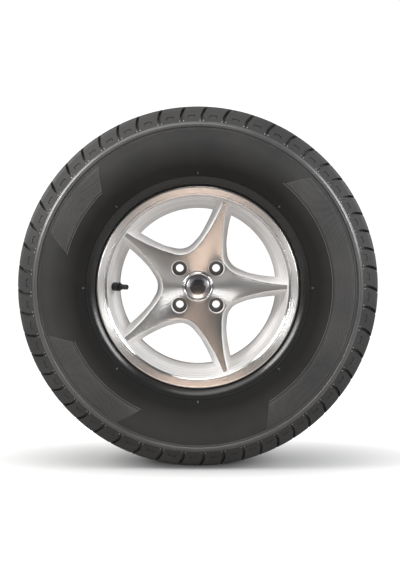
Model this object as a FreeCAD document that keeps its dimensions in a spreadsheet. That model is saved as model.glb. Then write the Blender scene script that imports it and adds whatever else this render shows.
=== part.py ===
import FreeCAD, Part
import math
import os
import Sketcher
from FreeCAD import Placement, Rotation, Vector

# A van tyre on its five-spoke alloy wheel, in millimetres and degrees.
# The wheel spins about Y and faces -Y, the origin is the centre of the rim, and +Z is up.

SIZES = {
    # tyre
    "tyre_diameter": 700,
    "section_width": 216,
    "section_radius": 260,         # where the sidewall is widest
    "tread_fall": 4.5,             # how far the tread drops from its middle to its edges
    "tread_half_width": 80,
    "shoulder_edge_width": 7,      # bevelled edge between tread and shoulder
    "shoulder_edge_drop": 6,
    "shoulder_inset": 9.5,         # where the blocks end, in from the widest place
    "shoulder_radius": 315,
    "shoulder_rib_width": 9,       # smooth raised ring under the blocks
    "shoulder_rib_foot": 3,
    "shoulder_rib_height": 1.6,
    "rim_line_radius": 213,        # fitting line above the rim
    "rim_line_inset": 10.5,
    "tread_base": 9.5,             # rubber and belts under the grooves
    "liner_half_width": 74,
    "liner_fall": 6,
    "liner_start": 17,             # where the liner turns up, above the fitting line
    "liner_inset": 1,
    "liner_rise": 30,              # where it turns over, above the widest place
    "sidewall_thickness": 9.5,
    "bead_width": 20,
    "bead_height": 16,
    "bead_lean": 8,
    "bead_fit": 0.2,
    "groove_depth": 9,
    "groove_width": 10,
    "groove_floor_width": 6,
    "groove_place": 47,            # of the two outer grooves, from the middle
    "slot_depth": 7,
    "slot_width": 4.6,
    "slot_slant": 20,
    "slot_end": 3,                 # how far the slots stop above the shoulder
    "short_pitch": 0.89,           # block lengths against the medium one
    "long_pitch": 1.10,
    # rim
    "rim_width": 152.4,            # between the two flanges
    "bead_seat_diameter": 354.8,
    "bead_seat_taper": 5,
    "flange_height": 17.3,
    "flange_bevel": 7.2,
    "flange_fit": 0.4,
    "lip_depth": 11,               # from the flange's inner face to the front of the lip
    "lip_edge": 2.4,
    "lip_band": 16.5,              # height of the bright front band
    "lip_dish": 0.8,
    "lip_step": 3.7,
    "land_end": 57.5,              # where the cone under the lip starts
    "land_drop": 6.5,
    "well_drop": 25.4,             # inside of the drop well, below the bead seat
    "well_front": 36,
    "well_back": 20,
    "barrel_wall": 6,
    "back_barrel_drop": 10.9,
    "back_slope_length": 18.5,
    "back_lip_height": 5,
    "back_lip_wall": 5,
    "back_lip_run": 7,
    # spokes and hub
    "spoke_count": 5,
    "wheel_offset": 25,            # mounting face, in front of the middle of the rim
    "hub_thickness": 36,
    "hub_flat_radius": 62,
    "spoke_rise": 11,              # how far the spoke tips stand in front of the hub
    "spoke_root_radius": 100,
    "spoke_back": 39,              # back of the spokes, from the middle of the rim
    "pad_radius": 74,
    "window_draft": 16,
    "window_nose_radius": 42,      # hub end of a window, in the plane of the spoke tips
    "window_nose_place": 108,
    "window_side_radius": 300,
    "spoke_tip_width": 19,
    "back_pocket_depth": 12,
    "back_pocket_width": 15,
    "back_pocket_start": 96,
    "back_pocket_clear": 12,       # from the end of a pocket to the drop well
    # wheel bolts
    "bolt_count": 4,
    "bolt_circle": 100,
    "bolt_hole": 15,
    "bolt_well": 28.5,
    "bolt_well_depth": 18,
    # centre
    "hub_bore": 60.1,
    "hub_bore_depth": 16,
    "cap_relief": 63,              # wider ring behind the cap's bore, for its barbs
    "cap_relief_depth": 4,
    "cap_bore": 55.6,
    "cap_recess": 60,
    "cap_recess_depth": 3,
    "cap_fit": 0.3,
    "cap_flange": 4,
    "cap_edge": 1.6,
    "cap_dome_height": 4.5,
    "cap_wall": 2,
    "badge_radius": 18,
    "badge_depth": 0.5,
    "leg_thickness": 1.8,
    "leg_count": 6,
    "leg_gap": 12,
    "leg_barb": 0.8,
    "leg_barb_length": 2.4,
    # valve
    "valve_hole": 11.5,
    "valve_place": 9,              # along the cone, from where it starts
    "valve_fit": 0.1,
    "valve_flange": 16.4,
    "valve_flange_length": 14,
    "valve_neck": 11.2,
    "valve_body_length": 20,
    "valve_bulb": 19,
    "valve_bulb_length": 8,
    "stem_diameter": 7.7,
    "stem_length": 29,
    "core_bore": 5.1,
    "core_bore_depth": 9,
    "spring_bore": 3.5,
    "spring_seat": 8,
    "air_hole": 2,
    "core_recess": 1.2,
    "core_fit": 0.05,
    "pin_diameter": 1,
    "pin_hole": 1.8,
    "pin_proud": 0.8,
    "poppet_diameter": 3,
    "poppet_length": 2,
    "poppet_fit": 0.1,
    "spring_wire": 0.4,
    "spring_turns": 3,
    "valve_cap_diameter": 10,
    "valve_cap_length": 13,
    "valve_cap_end": 2.4,
    "valve_cap_edge": 1,
    "valve_cap_fit": 0.3,
    "valve_cap_gap": 0.4,
}

# Order of the short, medium and long blocks round the tread, as on tyres made to run quietly.
PITCHES = "LLMMMMLMLMLLMLMMSSSMMLLLMMMSSSSMMMLLLMMSSSSMSMMLLLLM"


class Dim:
    """A size as a number and as the expression that gives it from the sheet."""

    def __init__(self, value, text):
        self.value = float(value)
        self.text = text

    def __add__(self, other):
        other = dim(other)
        return Dim(self.value + other.value, f"({self.text} + {other.text})")

    def __sub__(self, other):
        other = dim(other)
        return Dim(self.value - other.value, f"({self.text} - {other.text})")

    def __mul__(self, other):
        other = dim(other)
        return Dim(self.value * other.value, f"({self.text} * {other.text})")

    def __truediv__(self, other):
        other = dim(other)
        return Dim(self.value / other.value, f"({self.text} / {other.text})")

    def __neg__(self):
        return Dim(-self.value, f"(0 - {self.text})")

    def __radd__(self, other):
        return dim(other) + self

    def __rsub__(self, other):
        return dim(other) - self

    def __rmul__(self, other):
        return dim(other) * self


def dim(size):
    return size if isinstance(size, Dim) else Dim(size, repr(size))


def tan(angle):
    return Dim(math.tan(math.radians(angle.value)), f"tan({angle.text})")


def cos(angle):
    return Dim(math.cos(math.radians(angle.value)), f"cos({angle.text})")


def sin(angle):
    return Dim(math.sin(math.radians(angle.value)), f"sin({angle.text})")


def root(square):
    return Dim(math.sqrt(square.value), f"sqrt({square.text})")


def arctan(slope):
    return Dim(math.degrees(math.atan(slope.value)), f"(atan({slope.text}) / 1 deg)")


def tangent_radius(run, rise):
    """Radius of an arc that starts along the rise and moves aside by the run over it."""
    return (run * run + rise * rise) / (2 * run)


os.makedirs("parts", exist_ok=True)
doc = FreeCAD.newDocument("van_wheel")
sheet = doc.addObject("Spreadsheet::Sheet", "Sizes")
for row, (alias, size) in enumerate(SIZES.items(), start=1):
    sheet.set(f"A{row}", alias)
    sheet.set(f"B{row}", str(size))
    sheet.setAlias(f"B{row}", alias)
doc.recompute()
s = {alias: Dim(size, f"Sizes.{alias}") for alias, size in SIZES.items()}


# Helpers for bodies, sketches and features

def new_body(label):
    body = doc.addObject("PartDesign::Body", label)
    body.Label = label
    return body


def origin_part(body, role):
    return next(part for part in body.Origin.OriginFeatures if part.Role == role)


def bind(thing, name, size):
    thing.setExpression(name, dim(size).text)


def new_sketch(body, name, plane, shift=None, turn_axis=None, turn=0):
    """A sketch on an origin plane, shifted along its normal or turned about one of its own axes."""
    sketch = body.newObject("Sketcher::SketchObject", name)
    sketch.AttachmentSupport = [(origin_part(body, plane), "")]
    sketch.MapMode = "FlatFace"
    if turn_axis is not None:
        sketch.AttachmentOffset = Placement(Vector(), Rotation(turn_axis, dim(turn).value))
        bind(sketch, "AttachmentOffset.Rotation.Angle", turn)
    if shift is not None:
        bind(sketch, "AttachmentOffset.Base.z", shift)
    return sketch


def measure(sketch, kind, *where):
    """A driving dimension of a sketch, bound to its size."""
    *place, size = where
    index = sketch.addConstraint(Sketcher.Constraint(kind, *place, dim(size).value))
    bind(sketch, f"Constraints[{index}]", size)


def place_point(sketch, geometry, end, point):
    """Fix a point by its two sizes, or onto an axis where a size is nothing."""
    for kind, axis, size in (("DistanceX", -2, point[0]), ("DistanceY", -1, point[1])):
        if dim(size).value == 0:
            sketch.addConstraint(Sketcher.Constraint("PointOnObject", geometry, end, axis))
        else:
            measure(sketch, kind, -1, 1, geometry, end, size)


def arc_between(start, finish, radius, side):
    """An arc from start to finish, with its centre on the left (1) or the right (-1)."""
    chord = finish - start
    left = Vector(-chord.y, chord.x, 0).normalize()
    away = math.sqrt(max(radius**2 - (chord.Length / 2)**2, 0))
    centre = (start + finish) / 2 + left * away * side
    first, last = (start, finish) if side > 0 else (finish, start)
    angles = [math.atan2((p - centre).y, (p - centre).x) for p in (first, last)]
    if angles[1] < angles[0]:
        angles[1] += 2 * math.pi
    return Part.ArcOfCircle(Part.Circle(centre, Vector(0, 0, 1), radius), *angles)


def outline(sketch, points, arcs=None):
    """A closed outline; arcs gives the radius and side of the edges that leave certain corners."""
    arcs = arcs or {}
    corners = [Vector(dim(a).value, dim(b).value, 0) for a, b in points]
    ends = []
    for index, start in enumerate(corners):
        finish = corners[(index + 1) % len(corners)]
        if index in arcs:
            radius, side = arcs[index]
            edge = sketch.addGeometry(arc_between(start, finish, dim(radius).value, side), False)
            ends.append((edge, 1, 2) if side > 0 else (edge, 2, 1))
        else:
            edge = sketch.addGeometry(Part.LineSegment(start, finish), False)
            ends.append((edge, 1, 2))
    for index, (edge, _, last) in enumerate(ends):
        follower, first, _ = ends[(index + 1) % len(ends)]
        sketch.addConstraint(Sketcher.Constraint("Coincident", edge, last, follower, first))
    for index, (edge, first, _) in enumerate(ends):
        place_point(sketch, edge, first, points[index])
        if index in arcs:
            measure(sketch, "Radius", edge, arcs[index][0])


def axis_line(sketch, start, finish):
    """A construction line to turn a profile about."""
    first, last = (Vector(dim(a).value, dim(b).value, 0) for a, b in (start, finish))
    line = sketch.addGeometry(Part.LineSegment(first, last), True)
    place_point(sketch, line, 1, start)
    place_point(sketch, line, 2, finish)


def turned(body, name, sketch, axis="H_Axis", kind="Revolution"):
    feature = body.newObject(f"PartDesign::{kind}", name)
    feature.Profile = sketch
    feature.ReferenceAxis = (sketch, [axis])
    feature.Angle = 360
    doc.recompute()
    return feature


def pocket(body, name, sketch, depth):
    feature = body.newObject("PartDesign::Pocket", name)
    feature.Profile = sketch
    bind(feature, "Length", depth)
    return feature


def ring_of(body, name, feature, count):
    """A feature repeated evenly about Y."""
    pattern = body.newObject("PartDesign::PolarPattern", name)
    pattern.Originals = [feature]
    pattern.Axis = (origin_part(body, "Y_Axis"), [""])
    pattern.Angle = 360
    bind(pattern, "Occurrences", count)
    body.Tip = pattern
    doc.recompute()
    return pattern


# Shared places, along Y from the middle of the rim and as radii

seat_radius = s["bead_seat_diameter"] / 2
flange_face = s["rim_width"] / 2
flange_radius = seat_radius + s["flange_height"]
flange_bevel_radius = flange_radius - s["flange_bevel"]
seat_end = flange_face - s["bead_width"]
seat_end_radius = seat_radius - s["bead_width"] * tan(s["bead_seat_taper"])
hub_face = s["wheel_offset"] + s["hub_thickness"]
tip_plane = hub_face + s["spoke_rise"]
lip_face = flange_face + s["lip_depth"]
lip_foot_radius = flange_radius - s["lip_band"]
land_face = lip_face - s["lip_dish"] - s["lip_step"]
land_radius = lip_foot_radius - s["lip_step"]
well_radius = seat_radius - s["well_drop"]
back_barrel_radius = seat_radius - s["back_barrel_drop"]
cone_radius = land_radius - s["land_drop"]
cone_angle = arctan((cone_radius - well_radius) / (s["land_end"] - s["well_front"]))
cap_seat = hub_face - s["cap_recess_depth"]
hub_bore_end = s["wheel_offset"] + s["hub_bore_depth"]
cap_catch = hub_bore_end + s["cap_relief_depth"]


# Tyre: one moulding, turned from its section, with grooves round it and slots across its shoulders

def make_tyre():
    body = new_body("tyre")
    tyre_radius = s["tyre_diameter"] / 2
    half_section = s["section_width"] / 2
    tread_edge = tyre_radius - s["tread_fall"]
    edge_side = s["tread_half_width"] + s["shoulder_edge_width"]
    rib_foot = s["shoulder_radius"] - s["shoulder_rib_width"]
    shoulder_side = half_section - s["shoulder_inset"]
    rim_line_side = half_section - s["rim_line_inset"]
    rib_side = shoulder_side + s["shoulder_rib_foot"]
    bevel_clear = s["flange_fit"] * (root(dim(2)) - 1)
    outer = [
        (seat_end, seat_end_radius + s["bead_fit"]),
        (flange_face - s["flange_fit"], seat_radius + s["bead_fit"]),
        (flange_face - s["flange_fit"], flange_bevel_radius + bevel_clear),
        (flange_face + s["flange_bevel"] - bevel_clear, flange_radius + s["flange_fit"]),
        (rim_line_side, s["rim_line_radius"]),
        (half_section, s["section_radius"]),
        (rib_side, rib_foot),
        (rib_side + s["shoulder_rib_height"], rib_foot + s["shoulder_rib_height"]),
        (shoulder_side, s["shoulder_radius"]),
        (edge_side, tread_edge - s["shoulder_edge_drop"]),
        (s["tread_half_width"], tread_edge),
    ]
    liner_top = tyre_radius - s["groove_depth"] - s["tread_base"]
    liner_side = half_section - s["sidewall_thickness"]
    inner = [
        (seat_end + s["bead_lean"], seat_end_radius + s["bead_height"]),
        (rim_line_side - s["liner_inset"], s["rim_line_radius"] + s["liner_start"]),
        (liner_side, s["section_radius"] + s["liner_rise"]),
        (s["liner_half_width"], liner_top - s["liner_fall"]),
    ]
    lower_arc = tangent_radius(half_section - outer[4][0], s["section_radius"] - outer[4][1])
    upper_arc = tangent_radius(half_section - rib_side, rib_foot - s["section_radius"])
    top = [(0, tyre_radius)]
    points = [(-a, b) for a, b in outer] + top + outer[::-1] + inner
    points += [(0, liner_top)] + [(-a, b) for a, b in inner[::-1]]
    arcs = {4: (lower_arc, -1), 5: (upper_arc, -1)}
    mirror = 2 * len(outer) - 1
    for corner, arc in list(arcs.items()):
        arcs[mirror - corner] = arc
    section = new_sketch(body, "tyre_section", "YZ_Plane")
    outline(section, points, arcs)
    turned(body, "tyre_moulding", section)

    def tread_height(place):
        return tyre_radius - s["tread_fall"] * place / s["tread_half_width"]

    grooves = new_sketch(body, "groove_section", "YZ_Plane")
    for side in (-1, 0, 1):
        place = s["groove_place"] * side
        floor = tread_height(s["groove_place"] * abs(side)) - s["groove_depth"]
        half_top = s["groove_width"] / 2
        half_floor = s["groove_floor_width"] / 2
        outline(grooves, [
            (place - half_top, tyre_radius),
            (place - half_floor, floor),
            (place + half_floor, floor),
            (place + half_top, tyre_radius),
        ])
    turned(body, "tread_grooves", grooves, kind="Groove")

    # each slanted slot runs from an outer groove over the shoulder and fades out on its side
    slant = cos(s["slot_slant"])
    surface = tread_height(s["groove_place"])
    slot_floor = [
        (s["groove_place"] / slant, tyre_radius + 1),
        (s["groove_place"] / slant, surface - s["slot_depth"]),
        (s["tread_half_width"] / slant, tread_edge - s["slot_depth"]),
        (shoulder_side / slant, s["shoulder_radius"] + s["slot_end"]),
        (half_section / slant, s["shoulder_radius"] + s["slot_end"]),
        (half_section / slant, tyre_radius + 1),
    ]
    slots = new_sketch(body, "slot_outline", "YZ_Plane", turn_axis=Vector(0, -1, 0), turn=s["slot_slant"])
    outline(slots, slot_floor)
    outline(slots, [(-a, b) for a, b in slot_floor])
    cut = pocket(body, "slot", slots, s["slot_width"])
    cut.SideType = "Symmetric"
    doc.recompute()
    weights = {"S": s["short_pitch"].value, "M": 1.0, "L": s["long_pitch"].value}
    whole = sum(weights[pitch] for pitch in PITCHES)
    pattern = body.newObject("PartDesign::PolarPattern", "slots")
    pattern.Originals = [cut]
    pattern.Axis = (origin_part(body, "Y_Axis"), [""])
    pattern.Mode = "Spacing"
    pattern.Occurrences = len(PITCHES)
    pattern.Spacings = [360 * weights[pitch] / whole for pitch in PITCHES[:-1]]
    pattern.Reversed = True
    body.Tip = pattern
    doc.recompute()
    return body


# Wheel: one casting, of a star of spokes, the rim round it, bolt wells, and the valve hole

def two_circle_centre(first, first_reach, second, second_reach):
    """A point at given reaches from two others, on the left of the line between them."""
    line = second - first
    along = (first_reach**2 - second_reach**2 + line.Length**2) / (2 * line.Length)
    aside = math.sqrt(first_reach**2 - along**2)
    unit = line / line.Length
    return first + unit * along + Vector(-unit.y, unit.x, 0) * aside


def window_outline(sketch, outer_reach):
    """A window on the -X side: a round nose towards the hub and two long arcs that touch it."""
    nose, side = s["window_nose_radius"], s["window_side_radius"]
    half_turn = dim(180) / s["spoke_count"]
    tip_along = land_radius * cos(half_turn) + s["spoke_tip_width"] / 2 * sin(half_turn)
    tip_aside = land_radius * sin(half_turn) - s["spoke_tip_width"] / 2 * cos(half_turn)
    nose_centre = Vector(-s["window_nose_place"].value, 0, 0)
    tip = Vector(-tip_along.value, tip_aside.value, 0)
    centre = two_circle_centre(nose_centre, side.value - nose.value, tip, side.value)
    touch = centre + (nose_centre - centre).normalize() * side.value
    reach = outer_reach.value
    far_aside = centre.y + math.sqrt(side.value**2 - (reach + centre.x)**2)
    far = Vector(-reach, far_aside, 0)
    low_far, low_touch = Vector(far.x, -far.y, 0), Vector(touch.x, -touch.y, 0)
    upper = sketch.addGeometry(arc_between(touch, far, side.value, 1), False)
    back = sketch.addGeometry(Part.LineSegment(far, low_far), False)
    lower = sketch.addGeometry(arc_between(low_far, low_touch, side.value, 1), False)
    front = sketch.addGeometry(arc_between(low_touch, touch, nose.value, 1), False)
    for first, second in ((front, upper), (lower, front)):
        sketch.addConstraint(Sketcher.Constraint("Tangent", first, 2, second, 1))
    for first, second in ((upper, back), (back, lower)):
        sketch.addConstraint(Sketcher.Constraint("Coincident", first, 2, second, 1))
    sketch.addConstraint(Sketcher.Constraint("Symmetric", back, 1, back, 2, -1))
    sketch.addConstraint(Sketcher.Constraint("PointOnObject", front, 3, -1))
    sketch.addConstraint(Sketcher.Constraint("Equal", upper, lower))
    measure(sketch, "DistanceX", front, 3, -1, 1, s["window_nose_place"])
    measure(sketch, "Radius", front, nose)
    measure(sketch, "Radius", upper, side)
    measure(sketch, "DistanceX", back, 1, -1, 1, outer_reach)
    mark = sketch.addGeometry(Part.Point(tip), True)
    measure(sketch, "DistanceX", mark, 1, -1, 1, tip_along)
    measure(sketch, "DistanceY", -1, 1, mark, 1, tip_aside)
    sketch.addConstraint(Sketcher.Constraint("PointOnObject", mark, 1, upper))


def make_wheel():
    body = new_body("alloy_wheel")
    in_wall = s["barrel_wall"] / 2
    hub_bore = s["hub_bore"] / 2
    cap_bore = s["cap_bore"] / 2
    cap_recess = s["cap_recess"] / 2
    star = new_sketch(body, "star_section", "YZ_Plane")
    outline(star, [
        (-s["wheel_offset"], hub_bore),
        (-hub_bore_end, hub_bore),
        (-hub_bore_end, s["cap_relief"] / 2),
        (-cap_catch, s["cap_relief"] / 2),
        (-cap_catch, cap_bore),
        (-cap_seat, cap_bore),
        (-cap_seat, cap_recess),
        (-hub_face, cap_recess),
        (-hub_face, s["hub_flat_radius"]),
        (-tip_plane, land_radius),
        (-s["land_end"], cone_radius + in_wall),
        (-s["spoke_back"], well_radius + in_wall),
        (-s["spoke_back"], s["spoke_root_radius"]),
        (-s["wheel_offset"], s["pad_radius"]),
    ])
    turned(body, "star_disc", star)

    windows = new_sketch(body, "window", "XZ_Plane", shift=tip_plane)
    depth = tip_plane - s["wheel_offset"] + 1
    window_outline(windows, land_radius + depth * tan(s["window_draft"]))
    cut = pocket(body, "window_cut", windows, depth)
    bind(cut, "TaperAngle", -s["window_draft"])
    doc.recompute()
    ring_of(body, "windows", cut, s["spoke_count"])

    corner = s["barrel_wall"] * tan(cone_angle / 2)
    slope_end = s["back_slope_length"] - s["well_back"]
    back_face = flange_face + s["flange_bevel"] + 2
    outer_cone = cone_radius - (s["land_end"] - seat_end) * tan(cone_angle)
    outer_cone = outer_cone + s["barrel_wall"] / cos(cone_angle)
    rim = new_sketch(body, "rim_section", "YZ_Plane")
    outline(rim, [
        (-flange_face, flange_bevel_radius),
        (-flange_face, seat_radius),
        (-seat_end, seat_end_radius),
        (-seat_end, outer_cone),
        (corner - s["well_front"], well_radius + s["barrel_wall"]),
        (corner - s["well_back"], well_radius + s["barrel_wall"]),
        (slope_end + corner, back_barrel_radius + s["barrel_wall"]),
        (seat_end - 2, back_barrel_radius + s["barrel_wall"]),
        (seat_end, seat_end_radius),
        (flange_face, seat_radius),
        (flange_face, flange_bevel_radius),
        (flange_face + s["flange_bevel"], flange_radius),
        (back_face, flange_radius - s["back_lip_height"]),
        (flange_face + s["back_lip_wall"], seat_radius - s["back_lip_wall"]),
        (flange_face - s["back_lip_run"], back_barrel_radius),
        (slope_end, back_barrel_radius),
        (-s["well_back"], well_radius),
        (-s["well_front"], well_radius),
        (-s["land_end"], cone_radius),
        (-land_face, land_radius),
        (s["lip_dish"] - lip_face, lip_foot_radius),
        (-lip_face, flange_radius - s["lip_edge"]),
        (s["lip_edge"] - lip_face, flange_radius),
        (-flange_face - s["flange_bevel"], flange_radius),
    ])
    turned(body, "rim", rim)

    # a bolt well with its flat seat, first on the diagonal
    bolt_place = s["bolt_circle"] / 2
    well_floor = hub_face - s["bolt_well_depth"]
    bolt = new_sketch(body, "bolt_section", "YZ_Plane", turn_axis=Vector(1, 0, 0), turn=45)
    axis_line(bolt, (-hub_face, bolt_place), (-s["wheel_offset"], bolt_place))
    outline(bolt, [
        (-tip_plane, bolt_place),
        (-tip_plane, bolt_place + s["bolt_well"] / 2),
        (-well_floor, bolt_place + s["bolt_well"] / 2),
        (-well_floor, bolt_place + s["bolt_hole"] / 2),
        (1 - s["wheel_offset"], bolt_place + s["bolt_hole"] / 2),
        (1 - s["wheel_offset"], bolt_place),
    ])
    cut = turned(body, "bolt_well", bolt, axis="Axis0", kind="Groove")
    ring_of(body, "bolt_wells", cut, s["bolt_count"])

    # lightening pockets in the backs of the spokes
    backs = new_sketch(body, "back_pocket", "XZ_Plane", shift=s["spoke_back"])
    half = s["back_pocket_width"] / 2
    pocket_end = well_radius - s["back_pocket_clear"]
    outline(backs, [
        (s["back_pocket_start"], -half),
        (pocket_end, -half / 2),
        (pocket_end, half / 2),
        (s["back_pocket_start"], half),
    ])
    cut = pocket(body, "back_pocket_cut", backs, s["back_pocket_depth"])
    cut.Reversed = True
    doc.recompute()
    ring_of(body, "back_pockets", cut, s["spoke_count"])

    # the valve hole, square to the cone of the rim
    hole = new_sketch(body, "valve_hole_section", "YZ_Plane", turn_axis=Vector(1, 0, 0), turn=-90)
    lean, rise = sin(cone_angle), cos(cone_angle)
    reach = 2 * s["barrel_wall"]
    radius = s["valve_hole"] / 2

    def spot(height, aside):
        return (valve_foot[1] - lean * height - rise * aside, lean * aside - rise * height - valve_foot[0])

    axis_line(hole, spot(-reach, 0), spot(reach, 0))
    outline(hole, [spot(-reach, 0), spot(-reach, radius), spot(reach, radius), spot(reach, 0)])
    turned(body, "valve_hole", hole, axis="Axis0", kind="Groove")
    return body


# where the valve's axis meets the inside of the cone, in X and Y, on the -X side
valve_foot = (
    -(cone_radius - s["valve_place"] * sin(cone_angle)),
    s["valve_place"] * cos(cone_angle) - s["land_end"],
)


# Centre cap: a hollow dome on clip legs, pressed into the hub from the front

def make_centre_cap():
    body = new_body("centre_cap")
    flange = s["cap_recess"] / 2 - s["cap_fit"]
    skirt = s["cap_bore"] / 2 - s["cap_fit"]
    skirt_inside = skirt - s["leg_thickness"]
    rim_face = cap_seat + s["cap_flange"]
    dome_foot = flange - s["cap_edge"]
    badge_face = rim_face + s["cap_edge"] + s["cap_dome_height"]
    catch = cap_catch - s["cap_fit"]
    leg_end = catch - s["leg_barb_length"]
    section = new_sketch(body, "cap_section", "YZ_Plane")
    outline(section, [
        (-cap_seat, skirt),
        (-cap_seat, flange),
        (-rim_face, flange),
        (-rim_face - s["cap_edge"], dome_foot),
        (-badge_face, s["badge_radius"]),
        (s["badge_depth"] - badge_face, s["badge_radius"] - s["badge_depth"]),
        (s["badge_depth"] - badge_face, 0),
        (s["cap_wall"] + s["badge_depth"] - badge_face, 0),
        (-rim_face, skirt_inside),
        (-leg_end, skirt_inside),
        (-leg_end, skirt),
        (-catch, skirt + s["leg_barb"]),
        (-catch, skirt),
    ])
    turned(body, "cap_moulding", section)
    gaps = new_sketch(body, "leg_gap", "XZ_Plane", shift=cap_seat - 1)
    half = s["leg_gap"] / 2
    outline(gaps, [(skirt_inside / 2, -half), (flange, -half), (flange, half), (skirt_inside / 2, half)])
    cut = pocket(body, "leg_gap_cut", gaps, s["cap_recess_depth"] + s["hub_thickness"])
    doc.recompute()
    ring_of(body, "leg_gaps", cut, s["leg_count"])
    return body


# Valve: pieces turned about their own X, which points out of the hole in the rim

def valve_piece(label, points, arcs=None):
    body = new_body(label)
    section = new_sketch(body, f"{label}_section", "XY_Plane")
    outline(section, points, arcs)
    turned(body, f"{label}_turned", section)
    seat_on_cone(body)
    return body


def seat_on_cone(body):
    body.Placement = Placement(Vector(1, 1, 0), Rotation(Vector(0, 0, 1), -30))
    bind(body, "Placement.Base.x", valve_foot[0])
    bind(body, "Placement.Base.y", valve_foot[1])
    bind(body, "Placement.Rotation.Angle", -cone_angle)


stem_radius = s["stem_diameter"] / 2
wall_back = s["barrel_wall"] + s["valve_fit"]
core_floor = s["stem_length"] - s["core_bore_depth"]
core_top = s["stem_length"] - s["core_recess"]
poppet_top = core_floor - s["poppet_fit"]
poppet_floor = poppet_top - s["poppet_length"]
stem_foot = -(wall_back + s["valve_bulb_length"])


def make_valve_body():
    flange = s["valve_flange"] / 2
    return valve_piece("valve_body", [
        (stem_foot, stem_radius),
        (stem_foot, s["valve_bulb"] / 2),
        (-wall_back, s["valve_bulb"] / 2),
        (-wall_back, s["valve_hole"] / 2 - s["valve_fit"]),
        (s["valve_fit"], s["valve_hole"] / 2 - s["valve_fit"]),
        (s["valve_fit"], flange),
        (s["valve_flange_length"], flange),
        (s["valve_flange_length"], s["valve_neck"] / 2),
        (s["valve_body_length"], s["valve_neck"] / 2),
        (s["valve_body_length"], stem_radius),
    ])


def make_valve_stem():
    return valve_piece("valve_stem", [
        (stem_foot, s["air_hole"] / 2),
        (stem_foot, stem_radius),
        (s["stem_length"], stem_radius),
        (s["stem_length"], s["core_bore"] / 2),
        (core_floor, s["core_bore"] / 2),
        (core_floor, s["spring_bore"] / 2),
        (s["spring_seat"], s["spring_bore"] / 2),
        (s["spring_seat"], s["air_hole"] / 2),
    ])


def make_core_housing():
    core = s["core_bore"] / 2 - s["core_fit"]
    return valve_piece("core_housing", [
        (core_floor, s["pin_hole"] / 2),
        (core_floor, core),
        (core_top, core),
        (core_top, s["pin_hole"] / 2),
    ])


def make_core_pin():
    pin = s["pin_diameter"] / 2
    poppet = s["poppet_diameter"] / 2
    return valve_piece("core_pin", [
        (poppet_floor, 0),
        (poppet_floor, poppet),
        (poppet_top, poppet),
        (poppet_top, pin),
        (core_top + s["pin_proud"], pin),
        (core_top + s["pin_proud"], 0),
    ])


def make_core_spring():
    body = new_body("core_spring")
    wire = s["spring_wire"]
    middle = s["poppet_diameter"] / 2 - wire / 2
    low = s["spring_seat"] + wire / 2
    section = new_sketch(body, "spring_wire_section", "XY_Plane")
    outline(section, [
        (low - wire / 2, middle - wire / 2),
        (low + wire / 2, middle - wire / 2),
        (low + wire / 2, middle + wire / 2),
        (low - wire / 2, middle + wire / 2),
    ])
    coil = body.newObject("PartDesign::AdditiveHelix", "spring_coil")
    coil.Profile = section
    coil.ReferenceAxis = (section, ["H_Axis"])
    coil.Mode = "height-turns-angle"
    bind(coil, "Height", poppet_floor - s["spring_seat"] - wire)
    bind(coil, "Turns", s["spring_turns"])
    doc.recompute()
    seat_on_cone(body)
    return body


def make_valve_cap():
    cap = s["valve_cap_diameter"] / 2
    start = s["valve_body_length"] + s["valve_cap_gap"]
    finish = start + s["valve_cap_length"]
    inside = finish - s["valve_cap_end"]
    return valve_piece("valve_cap", [
        (start, stem_radius + s["valve_cap_fit"]),
        (start, cap),
        (finish - s["valve_cap_edge"], cap),
        (finish, cap - s["valve_cap_edge"]),
        (finish, 0),
        (inside, 0),
        (inside, stem_radius + s["valve_cap_fit"]),
    ])


pieces = [
    make_tyre(),
    make_wheel(),
    make_centre_cap(),
    make_valve_body(),
    make_valve_stem(),
    make_core_housing(),
    make_core_pin(),
    make_core_spring(),
    make_valve_cap(),
]
doc.recompute()
for thing in doc.Objects:
    if "Invalid" in thing.State or "Error" in thing.State:
        raise RuntimeError(f"{thing.Name} did not build: {thing.State}")
for piece in pieces:
    if piece.Shape.isNull() or not piece.Shape.isValid():
        raise RuntimeError(f"{piece.Label} has no sound shape")
    piece.Shape.exportStep(f"parts/{piece.Label}.step")
    print(f"{piece.Label}: {piece.Shape.Volume / 1000:.1f} cm3")
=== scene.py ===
import bpy, bmesh
from math import sin, cos, tan, pi, radians, degrees, sqrt, atan2, hypot
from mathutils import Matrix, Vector


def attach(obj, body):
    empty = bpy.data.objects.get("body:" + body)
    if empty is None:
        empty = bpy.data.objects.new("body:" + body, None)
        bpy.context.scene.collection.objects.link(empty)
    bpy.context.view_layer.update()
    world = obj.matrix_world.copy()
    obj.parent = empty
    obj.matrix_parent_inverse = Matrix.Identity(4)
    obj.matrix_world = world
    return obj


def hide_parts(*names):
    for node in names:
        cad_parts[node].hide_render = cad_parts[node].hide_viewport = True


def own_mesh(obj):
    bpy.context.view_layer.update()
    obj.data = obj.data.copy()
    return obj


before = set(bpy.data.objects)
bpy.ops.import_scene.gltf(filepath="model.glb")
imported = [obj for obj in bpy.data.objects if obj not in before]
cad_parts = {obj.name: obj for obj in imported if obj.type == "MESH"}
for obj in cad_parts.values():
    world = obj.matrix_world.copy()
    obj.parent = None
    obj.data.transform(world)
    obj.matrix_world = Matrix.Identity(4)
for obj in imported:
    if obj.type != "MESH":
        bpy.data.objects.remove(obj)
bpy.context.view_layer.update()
scene = bpy.context.scene
scene.view_settings.view_transform = "Standard"
mm = 0.001
sharpEdge = 32  # degrees from which an edge stays a hard line
print("frame loaded", sorted(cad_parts))


def newObject(name, verts, faces):
    mesh = bpy.data.meshes.new(name)
    mesh.from_pydata(verts, [], faces)
    mesh.update()
    obj = bpy.data.objects.new(name, mesh)
    scene.collection.objects.link(obj)
    return obj


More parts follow.
